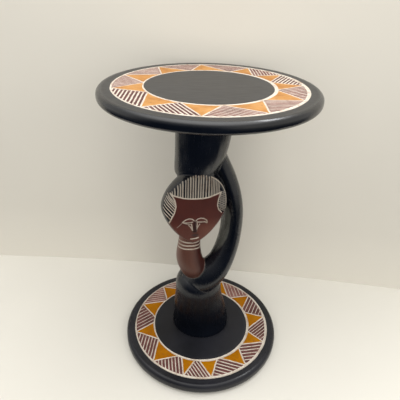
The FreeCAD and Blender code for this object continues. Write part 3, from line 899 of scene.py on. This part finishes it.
def carved_mesh():
    """The column's blank from its CAD node, remeshed evenly and with softened creases."""
    source = show("column_blank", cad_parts["carved_column"].data.copy())
    remesh = source.modifiers.new("even", "REMESH")
    remesh.mode = "VOXEL"
    remesh.voxel_size = bpy.context.scene.side_table_figure.voxel
    soften = source.modifiers.new("soft", "SMOOTH")
    soften.factor = 0.5
    soften.iterations = 5
    bpy.context.view_layer.update()
    found = source.evaluated_get(bpy.context.evaluated_depsgraph_get())
    mesh = bpy.data.meshes.new_from_object(found)
    bpy.data.objects.remove(source)
    return mesh


def vertex_values(mesh, name):
    """Three numbers of each vertex, such as its place."""
    values = np.empty(len(mesh.vertices) * 3)
    mesh.vertices.foreach_get(name, values)
    return values.reshape(-1, 3)


def refine(mesh):
    """Finer faces where the face, the hair and the neck rings are cut."""
    points = vertex_values(mesh, "co") / MM
    across, up, outward = face_places(points)
    face = (head_excess(across, up, outward) < 0.06) & (outward > FACE_BACK)
    rings = (np.abs(points[:, 2] - 241.0) < 15.0) & (neck_excess(points) < 3.0)
    wanted = (face & (outward < FACE_FRONT)) | rings
    work = bmesh.new()
    work.from_mesh(mesh)
    edges = set()
    for cell in work.faces:
        if all(wanted[v.index] for v in cell.verts):
            edges.update(cell.edges)
    bmesh.ops.subdivide_edges(work, edges=list(edges), cuts=2, use_grid_fill=True)
    crowded = [cell for cell in work.faces if len(cell.verts) > 4]
    bmesh.ops.triangulate(work, faces=crowded)
    work.to_mesh(mesh)
    work.free()


def on_face(tree, points):
    """Points across and up the face, moved onto the column's surface."""
    found = []
    for across, up in resampled(points, 1.5):
        start = FACE_MIDDLE + ACROSS * across + Vector((0, 0, up)) + OUTWARD * 30.0
        hit = tree.ray_cast(start, -OUTWARD, 60.0)[0]
        if hit is not None:
            found.append(tuple(hit))
    return np.array(found)


def crown_height_at(across):
    """Height of the hair's upper edge at a place across the head."""
    fullness = CROWN_FULL_SIDE if across > 0 else CROWN_LEAN_SIDE
    share = max(0.0, 1.0 - abs(across / (0.97 * HEAD_RADIUS)) ** fullness)
    return 0.97 * CROWN_HEIGHT * share ** (1.0 / fullness)


def hairline_at(across):
    """Height of the hair's lower edge at a place across the face."""
    return np.interp(across, *np.array(HAIRLINE).T)


def edge_at(edge, up):
    """Place across of a lock's edge at a height."""
    across, heights = np.array(edge)[::-1].T
    return np.interp(up, heights, across)


def figure_lines(tree):
    """Every cut line of the head: half width, depth, whiteness and points in space."""
    lines = []

    def cut(half, depth, white, points):
        found = on_face(tree, points)
        if len(found) > 1:
            lines.append((half, depth, white, found))

    for across, width in HAIR_LINES:
        low = hairline_at(across)
        high = crown_height_at(across) - 1.5 + 1.5 * steady((across, 0), 0.4, 1.0)
        sway = 0.5 * steady((across, 5.0), 0.3, 4.0)
        cut(width * 0.44, 0.8, 0.70,
            [(across, low), (across + sway, (low + high) / 2), (across, high)])
    cut(1.2, 0.8, 1.0, HAIRLINE)
    cut(1.15, 0.8, 0.95, LEFT_LOBE_EDGE)
    cut(0.85, 0.7, 0.85, RIGHT_LOBE_EDGE)
    count, first, drop, (aside, rise), highest = LEFT_HATCH
    for step in range(count):
        low = first - drop * step
        run = [(edge_at(LEFT_LOBE_EDGE, low) - 0.6, low)]
        while run[-1][0] > edge_at(LEFT_HATCH_ENDS, run[-1][1]) and run[-1][1] < highest:
            run.append((run[-1][0] + aside, run[-1][1] + rise))
        cut(0.78, 0.7, 0.95, run)
    count, first, drop = RIGHT_HATCH
    for step in range(count):
        up = first - drop * step
        start = 42.5 if up > 4 else 43.5
        cut(0.5, 0.4, 0.5, [(start, up - 1.0), (57.0, up + 2.5)])
        cut(0.45, 0.35, 0.45, [(start + 0.5, up + 3.5), (57.0, up - 4.5)])
    for line in FACE_LINES:
        cut(*line)
    # The hair's outer edge, round the crown and down the right side.
    outline = []
    for degrees in range(65, -12, -3):
        angle = math.radians(degrees)
        lift = math.copysign(abs(math.sin(angle)) ** (2 / CROWN_FULL_SIDE), degrees)
        place = (FACE_MIDDLE + ACROSS * (58.6 * math.cos(angle) ** (2 / CROWN_FULL_SIDE))
                 + Vector((0, 0, 66.5 * lift)) + OUTWARD * -3.0)
        outline.append(tuple(tree.find_nearest(place)[0]))
    lines.append((1.15, 0.8, 0.9, np.array(outline)))
    return lines


def oval_reach(across, up, oval):
    """Distance from an oval's middle, which is 1 at its edge."""
    return np.hypot((across - oval[0]) / oval[2], (up - oval[1]) / oval[3])


def relief(across, up):
    """How far the nose, the eyelids and the lips stand out of the face."""
    down = np.clip((NOSE_ROOT - up) / NOSE_LENGTH, 0.0, 1.0)
    middle, half, rise = (root + gain * down for root, gain in NOSE_SHAPE)
    flank = 1.0 - step_up(0.35, 1.0, np.abs(across - middle) / half)
    nose = rise * flank * (1.0 - step_up(*NOSE_TIP, up)) * step_up(-18.0, -24.0, up)
    lids = np.clip(1.0 - oval_reach(np.abs(across), up, EYELID) ** 2, 0.0, 1.0)
    lips = np.clip(1.0 - oval_reach(across, up, LIPS) ** 2, 0.0, 1.0)
    return nose + EYELID[4] * lids + LIPS[4] * lips ** 0.7


def painted_hollow_shade(across, up, outward):
    """Painted shade: darker on the nose, under the eyes, over the mouth and under the chin."""
    down = np.clip((-24.0 - up) / 22.0, 0.0, 1.0)
    wedge = 1.0 - step_up(0.55, 1.15, np.abs(across + 0.9) / (3.0 + 1.2 * down))
    wedge *= step_up(-20.0, -28.0, up) * step_up(-53.0, -46.0, up)
    mouth = 1.0 - step_up(0.3, 1.1, oval_reach(across, up, OVER_MOUTH))
    eyes = 1.0 - step_up(0.5, 1.2, oval_reach(np.abs(across), up, UNDER_EYE))
    chin = (1.0 - step_up(-77.0, -70.0, up)) * step_up(-30.0, -8.0, outward)
    found = np.maximum(np.maximum(0.85 * wedge, OVER_MOUTH[4] * mouth), UNDER_EYE[4] * eyes)
    return np.maximum(found * step_up(FACE_BACK, -12.0, outward), 0.5 * chin)


def arm_inner_grey(points, normals):
    """Where the inner side of the arm is painted a lighter grey."""
    reach = np.interp(points[:, 2], *np.array(ARM_RIDGE).T)
    inner = step_up(0.8, -2.6, points[:, 0] - reach) * step_up(0.15, -0.35, normals[:, 0])
    inner *= step_up(30.0, 5.0, points[:, 1])
    inner *= np.where(points[:, 2] > 262.0, step_up(20.0, 28.0, points[:, 0]), 1.0)
    return inner * step_up(208.0, 240.0, points[:, 2]) * step_up(321.5, 318.0, points[:, 2])


def carve(mesh):
    """Cut the figure's lines and relief, and store the paint masks on the mesh."""
    count = len(mesh.vertices)
    points = vertex_values(mesh, "co") / MM
    normals = vertex_values(mesh, "normal")
    tree = BVHTree.FromPolygons(
        [tuple(p) for p in points], [tuple(face.vertices) for face in mesh.polygons])
    across, up, outward = face_places(points)
    head = (head_excess(across, up, outward) < 0.05) & (outward > -HEAD_DEPTH)
    head &= outward < FACE_FRONT
    neck = neck_excess(points)

    chalk = np.zeros(count)
    sunk = np.zeros(count)
    for half, depth, white, line in figure_lines(tree):
        off = line_distance(points, line)
        chalk = np.maximum(chalk, white * (1.0 - step_up(half - 0.15, half + 0.3, off)))
        sunk = np.maximum(sunk, depth * np.clip(1.0 - (off / half) ** 2, 0.0, 1.0))
    chalk[~head] = 0.0
    sunk[~head] = 0.0
    for index, height in enumerate(NECK_RING_HEIGHTS):
        sway = np.array([0.6 * steady(p, 0.09, 30.0 + index) for p in points[:, :2]])
        fall = RING_FALL * (np.minimum(points[:, 1], NECK_SIDE) - NECK_FRONT)
        off = np.where(neck < 2.5, np.abs(points[:, 2] - height + fall - sway), 99.0)
        off = np.where(head & (outward > -14.0), 99.0, off)
        chalk = np.maximum(chalk, NECK_RING_WHITE * (1.0 - step_up(1.15, 1.65, off)))
        sunk = np.maximum(
            sunk, NECK_RING_DEPTH * np.clip(1.0 - (off / NECK_RING_WIDTH) ** 2, 0.0, 1.0))

    below = step_up(0.6, -0.6, up - hairline_at(across))
    left_of = np.where(up < LEFT_LOBE_EDGE[-1][1], -99.0, edge_at(LEFT_LOBE_EDGE, up))
    right_of = np.where(up < RIGHT_LOBE_EDGE[-1][1], 99.0, edge_at(RIGHT_LOBE_EDGE, up))
    within = step_up(-0.6, 0.6, across - left_of) * step_up(-0.6, 0.6, right_of - across)
    skin = below * within * step_up(-44.0, -40.0, outward)
    stain = np.where(head, skin, 0.0)
    stain = np.maximum(stain, 1.0 - step_up(0.9, 2.2, neck))

    # Painted sheen: lighter wood over the lower face, more to its right as seen from the front,
    # and on the neck except its right side, most towards its top.
    jaw = step_up(-18.0, -50.0, up) * (0.27 + 0.40 * step_up(-8.0, 26.0, across))
    throat = step_up(0.85, 0.35, normals[:, 0]) * (
        0.25 + 0.75 * step_up(160.0, 205.0, points[:, 2]))
    dry = np.where(head & (outward > FACE_BACK), jaw, np.where(neck < 4.0, throat, 0.0))
    # Tone: painted shade in the face's recesses and under the chin, and a lighter grey on the
    # inner side of the arm.
    tone = np.where(head | (neck < 4.0), painted_hollow_shade(across, up, outward),
                    arm_inner_grey(points, normals))
    front = head & (outward > -4.0) & ((normals @ np.array(OUTWARD)) > 0.5)
    rise = np.where(front, relief(across, up), 0.0)
    # Marks of the carver's tool all over, but not where the column meets the discs.
    tool = np.array([
        noise.noise(Vector((p[0] * 0.045, p[1] * 0.045, p[2] * 0.02))) for p in points])
    inner_part = (points[:, 2] > COLUMN_LOW + 2.0) & (points[:, 2] < COLUMN_HIGH - 2.0)
    shift = -sunk + np.where(inner_part, TOOL_MARKS * tool, 0.0)
    points = points + normals * shift[:, None] + rise[:, None] * np.array(OUTWARD)
    points[:, 2] = np.clip(points[:, 2], COLUMN_LOW, COLUMN_HIGH)
    mesh.vertices.foreach_set("co", (points * MM).reshape(-1))
    for name, values in zip(MASKS, (stain, chalk, tone, dry)):
        layer = mesh.attributes.new(name, "FLOAT", "POINT")
        layer.data.foreach_set("value", values.astype(np.float32))
    mesh.update()


def build_column():
    """Make the looks of the carved column."""
    mesh = carved_mesh()
    refine(mesh)
    carve(mesh)
    mesh.shade_smooth()
    mesh.materials.clear()
    mesh.materials.append(column_paint())
    place_piece(show("painted_column", mesh), "carved_column")


def paint_nodes():
    """Give every CAD node that stays its own finish."""
    finishes = {kind: node_finish(*parts) for kind, parts in NODE_FINISHES.items()}
    for name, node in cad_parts.items():
        finish = finishes.get(name.rsplit("_", 1)[0])
        if finish is None:
            continue
        node.data.materials.clear()
        node.data.materials.append(finish)
        for face in node.data.polygons:
            face.material_index = 0


# Floor, wall, light and camera


def stage_finish(name, colour, climb=0.0, opening=0.0):
    """Matt painted board that shows on its front side only.

    It is lighter by a share at one metre up, as painted light, and open within a radius.
    """
    finish = Finish(name, 0.25)
    cloud = finish.noise(3.0, 3.0)
    fine = finish.noise(240.0, 2.0)
    tone = finish.tones(cloud, colour, (0.3, 0.975), (0.7, 1.01))
    # Painted light: the board is lighter towards one metre up.
    if climb:
        lighter = finish.tones(cloud, colour, (0.3, 1.0 + climb), (0.7, 1.02 + climb))
        tone = finish.mix(finish.climb(0.15, 1.0, 0.0, 1.0), tone, lighter)
    material = finish.finish(
        tone, finish.spread(cloud, 0.75, 0.65), finish.bump(fine, 0.0001))
    clear = finish.add("NewGeometry").outputs["Backfacing"]
    if opening:
        clear = finish.reckon("MAXIMUM", clear, finish.outward(opening, opening - 0.001))
    finish.feed(finish.nodes["Material Output"].inputs["Surface"], finish.mix_shaders(
        clear, finish.shader.outputs["BSDF"], finish.add("BsdfTransparent").outputs["BSDF"]))
    return material


def stage_sheet(name, corners, faces, material):
    """One sheet of the surroundings."""
    thing = make_object(name, corners, faces, [material], [0] * len(faces))
    return thing


# Each light: its place, what it looks at, its size and its colour. The one below shines
# through the opening under the base, for looks at its underside.
LIGHTS = {
    "ceiling_light": ((0.93, 0.44, 2.1), (0.07, -0.2, 0.5), (0.85, 0.26), (0.95, 0.97, 1.0)),
    "front_light": ((0.20, -2.2, 0.95), (0.0, 0.1, 0.35), (3.0, 1.5), (1.0, 0.965, 0.90)),
    "light_below": ((0.0, -0.02, -0.45), (0.0, 0.0, 0.0), (0.35, 0.35), (1.0, 0.98, 0.94)),
}


def area_light(name, watts):
    """A soft four-sided light that looks at a point."""
    place, aim, size, colour = LIGHTS[name]
    data = bpy.data.lights.new(name, "AREA")
    data.shape = "RECTANGLE"
    data.size, data.size_y = size
    data.energy = watts
    data.color = colour
    light = show(name, data)
    light.location = place
    light.rotation_euler = (Vector(aim) - Vector(place)).to_track_quat("-Z", "Y").to_euler()
    return light


# The photograph's camera: its place, its yaw, pitch and roll, its lens in millimetres
# on a 36 mm sensor, and its shift.
CAMERA_PLACE = (0.0, -0.71363, 0.73447)
CAMERA_TURNS = (-1.06, 23.24, -1.73)
CAMERA_LENS, CAMERA_SHIFT = 38.698, -0.125


def build_camera():
    """The camera of the photograph."""
    yaw, pitch, roll = (math.radians(turn) for turn in CAMERA_TURNS)
    data = bpy.data.cameras.new("photo_camera")
    data.sensor_width = 36.0
    data.lens = CAMERA_LENS
    data.shift_y = CAMERA_SHIFT
    data.clip_start, data.clip_end = 0.01, 50.0
    camera = show("photo_camera", data)
    camera.matrix_world = (
        Matrix.Translation(CAMERA_PLACE) @ Matrix.Rotation(-yaw, 4, "Z")
        @ Matrix.Rotation(math.pi / 2 - pitch, 4, "X") @ Matrix.Rotation(-roll, 4, "Z"))
    bpy.context.scene.camera = camera


# The room's light by height, in front of the table and elsewhere: 0 is straight below,
# 0.5 level and 1 straight above.
FRONT_TONES = [
    (0.42, (0.003, 0.006, 0.013)), (0.50, (0.022, 0.025, 0.032)), (0.60, (0.06, 0.062, 0.07)),
    (0.80, (0.125, 0.126, 0.130)), (0.88, (0.18, 0.18, 0.18)), (0.953, (0.48, 0.475, 0.47)),
    (0.99, (0.93, 0.92, 0.90)), (1.0, (1.0, 0.99, 0.97)),
]
SIDE_TONES = [
    (0.32, (0.004, 0.007, 0.015)), (0.41, (0.22, 0.215, 0.203)), (0.80, (0.25, 0.245, 0.235)),
    (1.0, (1.0, 0.99, 0.97)),
]
# The front tones hold up to the first share of this direction, the side tones from the
# second.
BACKWARDS, FRONT_UNTIL, SIDES_FROM = (0.45, 1.0, 0.0), -0.95, -0.55


def build_room(settings):
    """Light from all round, and a plain backdrop that only the camera sees."""
    world = bpy.data.worlds.new("room")
    bpy.context.scene.world = world
    room = Nodes(world)
    direction = room.add("TexCoord").outputs["Generated"]
    height = room.add("SeparateXYZ", {"Vector": direction}).outputs["Z"]
    height = room.reckon("MULTIPLY_ADD", height, 0.5, 0.5)
    aside = room.add("VectorMath", {0: direction, 1: BACKWARDS}, operation="DOT_PRODUCT")
    share = room.measure(aside.outputs["Value"], FRONT_UNTIL, SIDES_FROM)
    light = room.nodes["Background"]
    room.feed(light.inputs["Color"], room.mix(
        share, room.ramp(height, FRONT_TONES), room.ramp(height, SIDE_TONES)))
    room.feed(light.inputs["Strength"], settings.room)
    backdrop = room.add("Background", {"Color": (*settings.backdrop, 1.0)})
    room.feed(room.nodes["World Output"].inputs["Surface"], room.mix_shaders(
        room.add("LightPath").outputs["Is Camera Ray"],
        light.outputs["Background"], backdrop.outputs["Background"]))


# Where the wall meets the floor, from left to right, and the floor's front edge.
WALL_FOOT = [
    (-720.0, 223.0), (-506.0, 226.9), (-387.0, 228.4), (-278.0, 227.5), (-170.0, 223.5),
    (-8.0, 211.5), (175.0, 195.0), (302.0, 182.0), (445.0, 164.1), (760.0, 122.0),
]
FLOOR_FRONT = [
    (-720.0, -40.0), (-420.0, -170.0), (-330.0, -285.0), (300.0, -285.0), (430.0, -120.0),
    (760.0, -100.0),
]
# The wall's height and lean in millimetres, and the share by which it is painted lighter towards
# one metre up, as painted light.
WALL_HEIGHT, WALL_LEAN, WALL_PAINTED_LIGHT = 1000.0, 50.0, 0.55
# The wide floor that only the camera sees, its paint darker by a share as painted shade,
# and the floor's opening under the base.
AROUND_REACH, AROUND_DROP, AROUND_PAINTED_SHADE = 4.0, 0.5, 0.62
OPENING = 0.148


def build_stage():
    """Floor, wall, lights, surroundings and camera."""
    settings = bpy.context.scene.side_table_stage
    floor = stage_finish("floor_paint", settings.floor, opening=OPENING)
    wall = stage_finish("wall_paint", settings.wall, WALL_PAINTED_LIGHT)
    # A darker copy of the floor paint for the wide floor, as painted shade.
    around = stage_finish("floor_paint_around", shade(settings.floor, AROUND_PAINTED_SHADE))

    foot = [(x, y, 0.0) for x, y in WALL_FOOT]
    head = [(x, y + WALL_LEAN, WALL_HEIGHT) for x, y in WALL_FOOT]
    count = len(foot)
    inner = [(x, y, 0.0) for x, y in FLOOR_FRONT] + foot[::-1]
    outer = [(x * AROUND_REACH, y * AROUND_REACH, -AROUND_DROP) for x, y, _ in inner]
    edge = list(range(len(inner)))
    stage_sheet("floor", inner, [tuple(edge)], floor)
    wide = stage_sheet("floor_around", inner + outer,
                       loop_faces([k + len(inner) for k in edge], edge), around)
    wide.visible_diffuse = wide.visible_glossy = wide.visible_shadow = False
    stage_sheet("wall", foot + head,
                [(k, k + 1, count + k + 1, count + k) for k in range(count - 1)], wall)
    build_room(settings)

    area_light("ceiling_light", settings.lamp)
    area_light("front_light", settings.fill).visible_glossy = False
    area_light("light_below", settings.below).visible_camera = False
    bpy.context.scene.view_settings.view_transform = "Standard"
    build_camera()


# Settings, operators and panel


def paint(name, text, colour):
    """A colour setting."""
    return FloatVectorProperty(
        name=name, description=text, default=colour, subtype="COLOR", size=3, min=0.0, max=1.0)


def length(name, text, value):
    """A length setting."""
    return FloatProperty(
        name=name, description=text, default=value, min=0.0, unit="LENGTH", subtype="DISTANCE")


def power(name, text, value, unit="POWER"):
    """A light's setting."""
    return FloatProperty(name=name, description=text, default=value, min=0.0, unit=unit)


class SideTablePaints(bpy.types.PropertyGroup):
    """Colours of the table's paints and wood."""

    black: paint("Black", "Satin black paint of the top and the column", (0.0022, 0.0030, 0.0052))
    worn_black: paint("Worn black", "Black paint of the base", (0.0095, 0.0098, 0.0130))
    chalk: paint("Chalk", "White paint in the cut lines", (0.80, 0.72, 0.62))
    old_chalk: paint("Old chalk", "White paint of the figure", (0.47, 0.415, 0.345))
    # Partly painted sheen: the top's ochre is paler, standing in for the light it reflects.
    ochre: paint("Ochre", "Triangles of the top's band", (0.53, 0.243, 0.054))
    # Painted shadow: the base's ochre is darker, standing in for the top's shadow on it.
    deep_ochre: paint("Deep ochre", "Triangles of the base's band", (0.345, 0.127, 0.002))
    oxblood: paint("Oxblood", "Ground under the hatching", (0.100, 0.028, 0.024))
    rubbed: paint("Rubbed ground", "Ground with white rubbed over it", (0.205, 0.084, 0.070))
    # A lighter grey black for the inner side of the arm.
    arm_grey: paint("Dull black", "Black paint that has lost its polish", (0.070, 0.072, 0.064))
    wood: paint("Wood", "Oiled red-brown wood of the face", (0.053, 0.0092, 0.0055))
    # Painted sheen: a lighter red-brown for the jaw and the neck.
    sheen_wood: paint("Wood sheen", "Red-brown wood of the neck and the jaw", (0.135, 0.052, 0.033))


class SideTableBands(bpy.types.PropertyGroup):
    """Widths of the white lines on the discs."""

    ring_width: length("Ring width", "Width of the two white rings", 0.0046)
    border_width: length("Border width", "Width of the zig-zag lines", 0.0027)


class SideTableFigure(bpy.types.PropertyGroup):
    """Fineness of the carved column."""

    voxel: length("Voxel", "Grain of the column's even mesh", 0.0013)


class SideTableStage(bpy.types.PropertyGroup):
    """Surroundings of the table."""

    floor: paint("Floor", "Colour of the floor", (0.675, 0.658, 0.605))
    wall: paint("Wall", "Colour of the wall", (0.60, 0.578, 0.522))
    backdrop: paint("Backdrop", "Plain colour far behind the table", (0.70, 0.67, 0.60))
    room: power("Room light", "Strength of the light from all round", 2.8, "NONE")
    lamp: power("Lamp", "Power of the strip light above", 8.5)
    fill: power("Fill", "Power of the broad light in front", 41.0)
    below: power("Below", "Power of the light under the base", 4.0)


class SIDETABLE_OT_stage(bpy.types.Operator):
    """Add the floor, the wall, the lights and the camera"""

    bl_idname = "side_table.stage"
    bl_label = "Stage"

    def execute(self, context):
        build_stage()
        return {"FINISHED"}


class SIDETABLE_OT_table_top(bpy.types.Operator):
    """Make the round top with its painted band"""

    bl_idname = "side_table.table_top"
    bl_label = "Round Top"

    def execute(self, context):
        build_disc("table_top")
        return {"FINISHED"}


class SIDETABLE_OT_base_disc(bpy.types.Operator):
    """Make the round base with its painted band"""

    bl_idname = "side_table.base_disc"
    bl_label = "Round Base"

    def execute(self, context):
        build_disc("base_disc")
        return {"FINISHED"}


class SIDETABLE_OT_column(bpy.types.Operator):
    """Carve and paint the column with its figure"""

    bl_idname = "side_table.column"
    bl_label = "Carved Column"

    def execute(self, context):
        build_column()
        return {"FINISHED"}


class SIDETABLE_OT_fixings(bpy.types.Operator):
    """Give the dowels, the screws and the felt pads their finishes"""

    bl_idname = "side_table.fixings"
    bl_label = "Fixings and Pads"

    def execute(self, context):
        paint_nodes()
        return {"FINISHED"}


OPERATORS = (
    SIDETABLE_OT_stage, SIDETABLE_OT_table_top, SIDETABLE_OT_base_disc,
    SIDETABLE_OT_column, SIDETABLE_OT_fixings,
)
SETTINGS = {
    "side_table_paints": SideTablePaints, "side_table_bands": SideTableBands,
    "side_table_figure": SideTableFigure, "side_table_stage": SideTableStage,
}


class SIDETABLE_PT_panel(bpy.types.Panel):
    """Settings and steps of the side table"""

    bl_idname = "SIDETABLE_PT_panel"
    bl_label = "Carved Side Table"
    bl_space_type = "VIEW_3D"
    bl_region_type = "UI"
    bl_category = "Side Table"

    def draw(self, context):
        for name, group in SETTINGS.items():
            box = self.layout.box()
            for setting in group.__annotations__:
                box.prop(getattr(context.scene, name), setting)
        for step in OPERATORS:
            self.layout.operator(step.bl_idname)


def register():
    for group in (*SETTINGS.values(), *OPERATORS, SIDETABLE_PT_panel):
        bpy.utils.register_class(group)
    for name, group in SETTINGS.items():
        setattr(bpy.types.Scene, name, PointerProperty(type=group))


def unregister():
    for name in SETTINGS:
        delattr(bpy.types.Scene, name)
    for group in reversed((*SETTINGS.values(), *OPERATORS, SIDETABLE_PT_panel)):
        bpy.utils.unregister_class(group)


def main():
    register()
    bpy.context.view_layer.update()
    bpy.ops.side_table.stage()
    bpy.ops.side_table.table_top()
    bpy.ops.side_table.base_disc()
    bpy.ops.side_table.column()
    bpy.ops.side_table.fixings()


if __name__ == "__main__":
    main()
